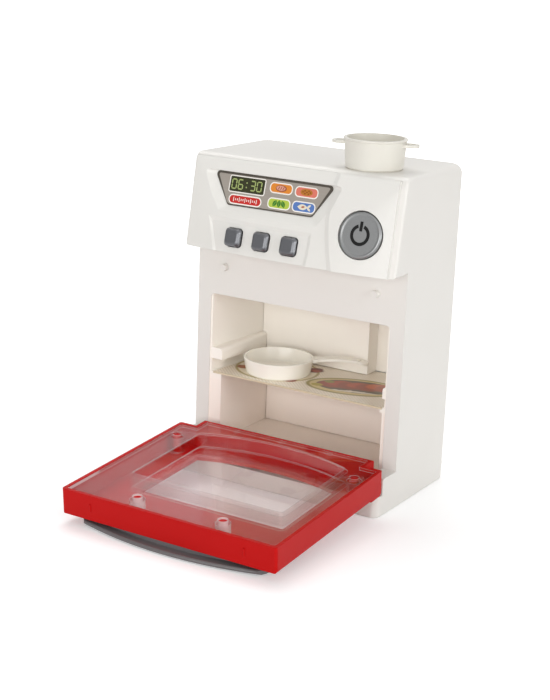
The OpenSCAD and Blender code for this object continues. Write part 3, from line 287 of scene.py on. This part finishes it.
# Food printed on the shelf: middle, half sizes in millimetres, turn in degrees, colour
SHELF_PRINT = [
    ((-27, 4), (25, 22), 0, 0xB6A36A), ((-27, 4), (23.4, 20.4), 0, 0xF6EBD4),
    ((-44.5, -3), (4.6, 3.4), 30, 0xA85A2C), ((-43, 3.5), (4.2, 3.2), -20, 0x7A2A1E),
    ((-9, 16.2), (5.2, 4.4), 20, 0x6E1C1E), ((-7.6, 15.4), (2.6, 2.2), 0, 0xA63A30),
    ((-12, -9), (5, 4), 0, 0x9C4A26),
    ((25, 2), (28, 15.5), 17, 0x9E9150), ((25, 2), (26, 13.6), 17, 0xD8C58A),
    ((26, 3), (23.5, 11.2), 17, 0x5C4B36), ((12, -1), (8, 6), 17, 0x9A3526),
    ((15, 3), (7, 5), 30, 0xB0452C), ((22, 2.5), (8, 6.4), 17, 0x902C1C), ((25, 6), (7, 5), 30, 0xB5472A),
    ((32, 6), (8, 6.4), 17, 0x98321E), ((35, 10), (7, 5), 20, 0xC65A26), ((41, 9), (7, 6), 17, 0xAA4018),
    ((5.5, -6.5), (3.2, 2.6), 0, 0xB2A03A), ((8.5, 2.5), (2.6, 2.2), 0, 0x8E8A34),
    ((28, -6.2), (13, 1.3), 17, 0xE8DFD0),
]
# Half length in millimetres above which an oval is a dish, with a clean edge
SMALLEST_DISH = 20


def shelf_film(name):
    """Printed paper film on the shelf: dishes of food on a fine beige grid, under a clear satin
    varnish. The grid's lines are 1.6 mm apart, as coarse as they need to be to show."""
    material, tree, shader, place = new_material(name, 0.35, Coat_Weight=0.3, Coat_Roughness=0.12)
    turned = add(tree, "ShaderNodeMapping", {"Vector": place, "Rotation": (0.0, 0.0, math.radians(45))})
    colour = linear(0xFBF1E0)
    for direction in "XY":
        lines = add(tree, "ShaderNodeTexWave",
                    {"Vector": turned.outputs["Vector"], "Scale": WAVE_PER_UNIT / (1.6 * MM)},
                    bands_direction=direction)
        thin = add(tree, "ShaderNodeMapRange",
                   {"Value": lines.outputs["Fac"], "From Min": 0.55, "From Max": 0.95, "To Max": 0.5})
        colour = add(tree, "ShaderNodeMix", {0: thin.outputs["Result"], 6: colour, 7: linear(0xCDC1B0)},
                     data_type="RGBA").outputs[2]
    wander = add(tree, "ShaderNodeTexNoise", {"Vector": place, "Scale": 260.0, "Detail": 3.0})
    centred = add(tree, "ShaderNodeVectorMath", {0: wander.outputs["Color"], 1: (0.5, 0.5, 0.5)},
                  operation="SUBTRACT")
    uneven = add(tree, "ShaderNodeVectorMath", {0: centred.outputs[0], 1: (0.003, 0.003, 0.0), 2: place},
                 operation="MULTIPLY_ADD")
    for middle, size, turn, ink in SHELF_PRINT:
        dish = max(size) > SMALLEST_DISH
        local = add(tree, "ShaderNodeMapping",
                    {"Vector": place if dish else uneven.outputs[0],
                     "Location": (middle[0] * MM, middle[1] * MM, SHELF_TOP * MM),
                     "Rotation": (0.0, 0.0, math.radians(turn)), "Scale": (size[0] * MM, size[1] * MM, 1.0)},
                    vector_type="TEXTURE")
        reach = add(tree, "ShaderNodeVectorMath", {0: local.outputs["Vector"]}, operation="LENGTH")
        fade = 0.02 if dish else 0.14
        inside = add(tree, "ShaderNodeMapRange", {"Value": reach.outputs["Value"], "From Min": 1.0 + fade,
                                                  "From Max": 1.0 - fade})
        colour = add(tree, "ShaderNodeMix", {0: inside.outputs["Result"], 6: colour, 7: linear(ink)},
                     data_type="RGBA").outputs[2]
    depth = add(tree, "ShaderNodeSeparateXYZ", {"Vector": place}).outputs["Y"]
    rim = add(tree, "ShaderNodeMapRange",
              {"Value": depth, "From Min": -20.9 * MM, "From Max": -21.2 * MM})
    colour = add(tree, "ShaderNodeMix", {0: rim.outputs["Result"], 6: colour, 7: linear(0xD6C7AA)},
                 data_type="RGBA").outputs[2]
    tree.links.new(colour, shader.inputs["Base Color"])
    soft_surface(tree, shader, wander.outputs["Fac"], 0.02, 0.15, 0.3)
    return material


# The third and fourth colours are painted light: lighter oven walls, and warmer under the shelf as a painted
# red bounce
WHITE_ABS = oven_abs("white_abs", 0xE7E4DF, 0xE4E1DB, 0xFFFAF1, 0xFFF5EB, 0.36, 0.3)
PANEL_ABS = moulded_plastic("white_abs_panel", 0xE8E6E1, 0xE5E3DD, 0.3, 0.3)
RED_STYRENE = moulded_plastic("red_polystyrene", 0xC00E0D, 0xB80B0B, 0.26, 0.3, Specular_IOR_Level=0.1)
GREY_ABS = moulded_plastic("dark_grey_abs", 0x676364, 0x625F60, 0.45, 0.3)
# The pan's cream is painted lighter than the pot's, though both are the same plastic: painted light for the
# dimmer oven
PAN_ABS_PAINTED_LIGHT = moulded_plastic("cream_abs_pan_painted_light", 0xFFFCF3, 0xFCF8EC, 0.16, 0.3)
POT_ABS = moulded_plastic("cream_abs_pot", 0xE2DFD6, 0xDFDBD0, 0.3, 0.3)
KEY_PAINT = silver_paint("silver_painted_key", 0x65666A, 0x5D5E61)
POWER_PAINT = silver_paint("silver_painted_button", 0x8C8D8D, 0x848585)
CLEAR = clear_styrene("clear_polystyrene")
LENS = moulded_plastic("tinted_lens", 0xFFF2CC, 0xFFEEC0, 0.1, 0.2, Transmission_Weight=0.7)
STEEL = zinc_steel("zinc_plated_steel")
DARK_STEEL = moulded_plastic("black_lacquered_steel", 0x2C2D2F, 0x333437, 0.35, 0.2, Metallic=0.6)
# The label's dark rim is a printed border and also painted shade along the display's recess wall
BORDER_INK_AND_SHADE = printing_ink("border_ink_and_shade", 0x4E4943, 0x585249)

FINISH = {
    "cabinet_shell": WHITE_ABS, "rear_cover": WHITE_ABS, "battery_door": WHITE_ABS,
    "control_panel": PANEL_ABS, "display_label": BORDER_INK_AND_SHADE, "door_frame": RED_STYRENE,
    "door_handle": GREY_ABS, "door_window": CLEAR, "button_left": KEY_PAINT, "button_middle": KEY_PAINT,
    "button_right": KEY_PAINT, "power_button": POWER_PAINT,
    "oven_shelf": shelf_film("printed_shelf_film"), "frying_pan": PAN_ABS_PAINTED_LIGHT, "cooking_pot": POT_ABS,
    "rubber_keypad": keypad_rubber("silicone_rubber"), "circuit_board": board_laminate("board_laminate"),
    "board_screws": STEEL, "case_screws": STEEL, "battery_door_screw": STEEL, "battery_contacts": STEEL,
    "speaker_basket": DARK_STEEL, "speaker_cone": cone_paper("pressed_cone_paper"),
    "battery_cells": cell_jacket("cell_jacket"), "oven_lamp": LENS,
}
for node, material in FINISH.items():
    for slot in NODES[node].material_slots:
        slot.material = material


def rounded_plate(width, height, radius, thick, steps=6):
    """A flat plate with round corners, its foot on z = 0. All sizes in millimetres."""
    shape = bmesh.new()
    bmesh.ops.create_grid(shape, x_segments=1, y_segments=1, size=0.5)
    bmesh.ops.scale(shape, vec=(width, height, 1), verts=shape.verts)
    if radius > 0:
        bmesh.ops.bevel(shape, geom=shape.verts[:], affect="VERTICES",
                        offset=min(radius, 0.499 * min(width, height)), segments=steps, profile=0.5,
                        material=-1)
    return thickened(shape, thick)


def thickened(shape, thick):
    """Raises a flat shape to a plate and turns its faces outwards."""
    raised = bmesh.ops.extrude_face_region(shape, geom=shape.faces[:])
    upper = [part for part in raised["geom"] if isinstance(part, bmesh.types.BMVert)]
    bmesh.ops.translate(shape, vec=(0, 0, thick), verts=upper)
    bmesh.ops.recalc_face_normals(shape, faces=shape.faces[:])
    return shape


def tapered_plate(top_width, foot_width, height, radius, thick):
    """A plate whose sides lean in towards its foot, as the display's do."""
    shape = bmesh.new()
    bmesh.ops.create_grid(shape, x_segments=1, y_segments=1, size=0.5)
    for corner in shape.verts:
        corner.co.x *= top_width if corner.co.y > 0 else foot_width
        corner.co.y *= height
    bmesh.ops.bevel(shape, geom=shape.verts[:], affect="VERTICES", offset=radius, segments=6, profile=0.5,
                    material=-1)
    return thickened(shape, thick)


def disc(radius_x, radius_y, thick, steps=24):
    """A flat oval plate."""
    shape = bmesh.new()
    bmesh.ops.create_circle(shape, cap_ends=True, segments=steps, radius=1)
    bmesh.ops.scale(shape, vec=(radius_x, radius_y, 1), verts=shape.verts)
    return thickened(shape, thick)


def leaf(length, width, thick):
    """A pointed oval."""
    shape = disc(length / 2, width / 2, thick)
    for point in shape.verts:
        along = min(abs(point.co.x) / (length / 2), 1)
        point.co.y *= 1 - along ** 3
    bmesh.ops.remove_doubles(shape, verts=shape.verts[:], dist=0.0001)
    return shape


def arc_band(inner, outer, thick, span, turn):
    """Part of a flat ring about the z axis, spun from its cross-section."""
    shape = bmesh.new()
    bmesh.ops.create_grid(shape, x_segments=1, y_segments=1, size=0.5)
    bmesh.ops.scale(shape, vec=(outer - inner, thick, 1), verts=shape.verts)
    bmesh.ops.rotate(shape, matrix=Matrix.Rotation(math.pi / 2, 3, "X"), verts=shape.verts)
    bmesh.ops.translate(shape, vec=((inner + outer) / 2, 0, thick / 2), verts=shape.verts)
    full = span > 359
    if full:
        bmesh.ops.delete(shape, geom=shape.faces[:], context="FACES_ONLY")
    bmesh.ops.spin(shape, geom=shape.verts[:] + shape.edges[:] + shape.faces[:], axis=(0, 0, 1),
                   cent=(0, 0, 0), angle=math.radians(span), steps=64, use_merge=full, use_duplicate=False)
    bmesh.ops.remove_doubles(shape, verts=shape.verts[:], dist=0.0001)
    bmesh.ops.holes_fill(shape, edges=[edge for edge in shape.edges if edge.is_boundary], sides=4)
    bmesh.ops.rotate(shape, matrix=Matrix.Rotation(math.radians(turn), 3, "Z"), verts=shape.verts)
    bmesh.ops.recalc_face_normals(shape, faces=shape.faces[:])
    return shape


def gather(whole, part, ink, spot=(0, 0, 0), turn=0.0):
    """Places a part in its sheet's own millimetres and adds it to the whole, in one of its inks."""
    place = Matrix.Translation(spot) @ Matrix.Rotation(math.radians(turn), 4, "Z")
    bmesh.ops.transform(part, matrix=place, verts=part.verts[:])
    for face in part.faces:
        face.material_index = ink
    mesh = bpy.data.meshes.new("part")
    part.to_mesh(mesh)
    part.free()
    whole.from_mesh(mesh)
    bpy.data.meshes.remove(mesh)


def finished(name, shape, materials, base, body):
    """Turns a shape in a frame's millimetres into a piece that rides on a body."""
    bmesh.ops.transform(shape, matrix=base @ Matrix.Scale(MM, 4), verts=shape.verts[:])
    mesh = bpy.data.meshes.new(name)
    shape.to_mesh(mesh)
    shape.free()
    for material in materials:
        mesh.materials.append(material)
    piece = bpy.data.objects.new(name, mesh)
    bpy.context.scene.collection.objects.link(piece)
    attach(piece, body)


INKS = {
    "outline": 0xF6F1EA, "olive": 0x34351F, "digit": 0xA9B873, "red": 0xC4302A, "orange": 0xE08A34,
    "salmon": 0xDC7A68, "green": 0xB4C84E, "blue": 0x5A7DBC, "crust": 0x9A5440, "crumb": 0xDFA08C,
    "bake": 0xB9772E, "berry": 0x8C4A1C, "leaf_green": 0x3C7A2C, "vein": 0x7FAE45, "fish": 0xE6DDC8,
    "fin": 0xB06A52,
}
INK_NAMES = list(INKS)
# The label's face and the display's place on the slope, in millimetres
LABEL_FACE = -1.6
DISPLAY_X, DISPLAY_S, DISPLAY_H = -14.0, 26.0, 18.0


def print_on(sheet, part, ink, x, s, lift, turn=0.0):
    """Adds a part in its ink, x across and s up the slope, at a lift above the label's face."""
    gather(sheet, part, INK_NAMES.index(ink), (x, s, LABEL_FACE + lift), turn)


def pill(sheet, ink, x, s, width, height, radius):
    """A printed field with its pale outline."""
    print_on(sheet, rounded_plate(width, height, radius, 0.03), "outline", x, s, 0.05)
    print_on(sheet, rounded_plate(width - 1.3, height - 1.3, radius - 0.65, 0.03), ink, x, s, 0.07)


# Segments of a digit: middle across and up, in half widths and half heights, and whether upright
SEGMENTS = {"a": (0, 1, 0), "b": (1, 0.5, 1), "c": (1, -0.5, 1), "d": (0, -1, 0), "e": (-1, -0.5, 1),
            "f": (-1, 0.5, 1), "g": (0, 0, 0)}
DIGITS = {"0": "abcdef", "3": "abgcd", "6": "afgedc"}


def clock(sheet, x, s):
    """Seven-segment digits of a clock, with its colon."""
    half_w, half_h, stroke = 1.35, 2.5, 0.62
    for digit, offset in zip("0630", (-8.2, -4.2, 3.6, 7.6)):
        for segment in DIGITS[digit]:
            across, up, upright = SEGMENTS[segment]
            length = half_h - stroke * 0.9 if upright else 2 * half_w - stroke * 0.9
            bar = rounded_plate(length + stroke * 0.6, stroke, stroke * 0.49, 0.02, 1)
            print_on(sheet, bar, "digit", x + offset + across * half_w, s + up * half_h, 0.1, 90 * upright)
    for up in (-1.2, 1.2):
        print_on(sheet, disc(0.4, 0.4, 0.02, 12), "digit", x - 0.4, s + up, 0.1)


def bread_roll(sheet, x, s):
    """A roll with three slanting cuts."""
    print_on(sheet, disc(3.4, 1.75, 0.03), "crust", x, s, 0.1)
    print_on(sheet, disc(2.8, 1.3, 0.03), "crumb", x - 0.2, s + 0.1, 0.12)
    for step in (-1.4, 0, 1.4):
        print_on(sheet, rounded_plate(0.45, 1.9, 0.2, 0.02, 2), "crust", x + step, s + 0.1, 0.15, -24)


def round_tart(sheet, x, s):
    """A tart with berries."""
    print_on(sheet, disc(3.7, 1.8, 0.03), "bake", x, s, 0.1)
    for across, up in ((-2.2, 0.1), (-1.1, 0.8), (-0.9, -0.7), (0.2, 0.1), (1.3, 0.8), (1.2, -0.8), (2.3, 0)):
        print_on(sheet, disc(0.48, 0.42, 0.02, 12), "berry", x + across, s + up, 0.13)


def three_leaves(sheet, x, s):
    """Three leaves with their veins."""
    for across, turn in ((-2.6, 62), (0, 90), (2.6, 118)):
        print_on(sheet, leaf(4.1, 2.3, 0.03), "leaf_green", x + across, s, 0.1, turn)
        print_on(sheet, rounded_plate(2.9, 0.28, 0.1, 0.02, 1), "vein", x + across, s, 0.13, turn)


def fish(sheet, x, s):
    """A fish with a forked tail and one fin."""
    print_on(sheet, leaf(6.4, 3.0, 0.03), "fish", x - 0.7, s, 0.1)
    for turn in (38, -38):
        print_on(sheet, leaf(2.9, 1.2, 0.03), "fish", x + 3.2, s + math.copysign(0.8, turn), 0.1, turn)
    print_on(sheet, leaf(2.4, 1.0, 0.02), "fin", x - 0.4, s + 0.1, 0.13, 12)


def display_print():
    """Brushed film in the display window, with the clock and the fields of food printed on it."""
    middle = DISPLAY_S + DISPLAY_H / 2
    film = bmesh.new()
    gather(film, tapered_plate(70.1, 52.9, 15.9, 1.6, 0.03), 0,
           (DISPLAY_X - 0.1, middle - 0.2, LABEL_FACE + 0.01))
    finished("display_film", film, [brushed_film("brushed_film")], SLOPE, "cabinet")
    sheet = bmesh.new()
    print_on(sheet, rounded_plate(22.9, 9.2, 1.2, 0.03), "outline", -29.9, 37.9, 0.05)
    print_on(sheet, rounded_plate(21.7, 8.1, 0.7, 0.03), "olive", -29.9, 37.9, 0.07)
    clock(sheet, -29.9, 37.9)
    pill(sheet, "red", -29.8, 29.7, 20.9, 5.4, 2.7)
    for step in range(13):
        tall = 2.4 if step % 3 == 0 else 1.3
        print_on(sheet, rounded_plate(0.42, tall, 0.15, 0.02, 1), "outline", -37.0 + 1.2 * step, 29.7, 0.11)
    for ink, x, s, motif in (("orange", -8.7, 38.8, bread_roll), ("salmon", 6.9, 38.6, round_tart),
                             ("green", -8.6, 30.6, three_leaves), ("blue", 6.6, 30.7, fish)):
        pill(sheet, ink, x, s, 14.2, 5.9, 2.5)
        motif(sheet, x, s)
    inks = [printing_ink(f"{name}_ink", colour) for name, colour in INKS.items()]
    finished("display_prints", sheet, inks, SLOPE, "cabinet")


def power_symbol():
    """The on symbol, printed black on the round button's face: a ring open at the top, and a bar."""
    symbol = bmesh.new()
    gather(symbol, arc_band(3.85, 5.6, 0.04, 320, 110), 0)
    gather(symbol, rounded_plate(1.7, 5.1, 0.1, 0.04, 1), 0, (0, 4.5, 0))
    bmesh.ops.translate(symbol, vec=(43.5, 20.8, 1.0), verts=symbol.verts[:])
    ink = printing_ink("black_ink", 0x0C0C0B, 0x111110)
    finished("power_symbol", symbol, [ink], SLOPE, "power_button")


def ejector_marks():
    """Faint round marks that the tool's ejector pins leave on the clear panel beside the hinge."""
    marks = bmesh.new()
    for x in (-30, 0, 30):
        gather(marks, arc_band(1.45, 1.75, 0.05, 360, 0), 0, (x, 1.2, 6.6))
    finished("ejector_marks", marks, [CLEAR], DOOR, "door")


# Focal length in the photograph's pixels, and its width
FOCAL_PIXELS = 1529.35
PHOTO_WIDTH = 550.0


def camera():
    """The photograph's own view, found from the object's straight edges."""
    place = Vector((405.72, -714.99, 306.04)) * MM
    right = Vector((0.84957, 0.52617, 0.03706))
    up = Vector((-0.17492, 0.21475, 0.96088))
    back = Vector((0.49763, -0.82282, 0.27448))
    data = bpy.data.cameras.new("camera")
    data.sensor_fit = "HORIZONTAL"
    data.sensor_width = 36.0
    data.lens = FOCAL_PIXELS * data.sensor_width / PHOTO_WIDTH
    data.clip_end = 20.0
    view = bpy.data.objects.new("camera", data)
    turn = Matrix((right, up, back)).transposed().to_4x4()
    view.matrix_world = Matrix.Translation(place) @ turn
    bpy.context.scene.collection.objects.link(view)
    bpy.context.scene.camera = view


def floor():
    """Plain pale floor. It shows nearly white to the eye, whiter farther out and less so through
    the clear window, and keeps the object's soft shadow."""
    mesh = bpy.data.meshes.new("floor")
    shape = bmesh.new()
    bmesh.ops.create_grid(shape, x_segments=1, y_segments=1, size=6.0)
    shape.to_mesh(mesh)
    shape.free()
    piece = bpy.data.objects.new("floor", mesh)
    bpy.context.scene.collection.objects.link(piece)
    material, tree, shader, place = new_material("matt_white_board", 0.9)
    shader.inputs["Base Color"].default_value = linear(0xF2F2F2)
    shader.inputs["Specular IOR Level"].default_value = 0.1
    path = add(tree, "ShaderNodeLightPath")
    reach = add(tree, "ShaderNodeVectorMath", {0: place}, operation="LENGTH")
    far = add(tree, "ShaderNodeMapRange",
              {"Value": reach.outputs["Value"], "From Min": 0.3, "From Max": 1.2, "To Min": 0.3,
               "To Max": 0.8})
    behind = add(tree, "ShaderNodeMapRange",
                 {"Value": path.outputs["Transparent Depth"], "To Min": 1.0, "To Max": 0.35})
    direct = add(tree, "ShaderNodeMath", {0: far.outputs["Result"], 1: behind.outputs["Result"]},
                 operation="MULTIPLY").outputs[0]
    lift = 0.0
    for ray, level in (("Is Camera Ray", direct), ("Is Glossy Ray", 0.3), ("Is Transmission Ray", 0.06)):
        own = add(tree, "ShaderNodeMath", {0: path.outputs[ray], 1: level}, operation="MULTIPLY")
        lift = add(tree, "ShaderNodeMath", {0: lift, 1: own.outputs[0]}, operation="MAXIMUM").outputs[0]
    shader.inputs["Emission Color"].default_value = (1, 1, 1, 1)
    tree.links.new(lift, shader.inputs["Emission Strength"])
    mesh.materials.append(material)


def lamp(name, place, target, size, power):
    """A rectangular soft box, in metres and watts, turned to a target."""
    data = bpy.data.lights.new(name, "AREA")
    data.shape = "RECTANGLE"
    data.size, data.size_y = size
    data.energy = power
    light = bpy.data.objects.new(name, data)
    light.location = Vector(place)
    light.rotation_euler = (Vector(target) - Vector(place)).to_track_quat("-Z", "Y").to_euler()
    bpy.context.scene.collection.objects.link(light)


def studio():
    """Even light from all round, with soft boxes in front, on the right and above, and a white
    background. Glossy faces see the room a little brighter on the right and above."""
    world = bpy.data.worlds.new("studio")
    bpy.context.scene.world = world
    world.use_nodes = True
    tree = world.node_tree
    back = tree.nodes["Background"]
    path = add(tree, "ShaderNodeLightPath")
    seen = path.outputs["Is Camera Ray"]
    for ray in ("Is Glossy Ray", "Is Transmission Ray"):
        seen = add(tree, "ShaderNodeMath", {0: seen, 1: path.outputs[ray]}, operation="MAXIMUM").outputs[0]
    level = add(tree, "ShaderNodeMapRange", {"Value": seen, "To Min": 0.5, "To Max": 1.0}).outputs["Result"]
    direction = add(tree, "ShaderNodeTexCoord").outputs["Generated"]
    side = add(tree, "ShaderNodeVectorMath", {0: direction, 1: (0.8, 0.0, 0.6)}, operation="DOT_PRODUCT")
    room = add(tree, "ShaderNodeMapRange",
               {"Value": side.outputs["Value"], "From Min": -1.0, "From Max": 1.0, "To Min": 0.35,
                "To Max": 1.5})
    uneven = add(tree, "ShaderNodeMath", {0: level, 1: room.outputs["Result"]}, operation="MULTIPLY")
    shown = add(tree, "ShaderNodeMix", {0: path.outputs["Is Glossy Ray"], 2: level, 3: uneven.outputs[0]})
    tree.links.new(shown.outputs[0], back.inputs["Strength"])
    back.inputs["Color"].default_value = (1, 1, 1, 1)
    lamp("front_light", (0.25, -2.0, 0.42), (0, 0, 0.08), (1.6, 1.0), 16)
    lamp("right_light", (1.6, -0.35, 0.45), (0, 0, 0.1), (0.8, 0.8), 8)
    lamp("top_light", (-0.45, 0.45, 1.4), (0, 0, 0.1), (1.0, 1.0), 9)


camera()
display_print()
power_symbol()
ejector_marks()
floor()
studio()
bpy.context.scene.view_settings.view_transform = "Standard"
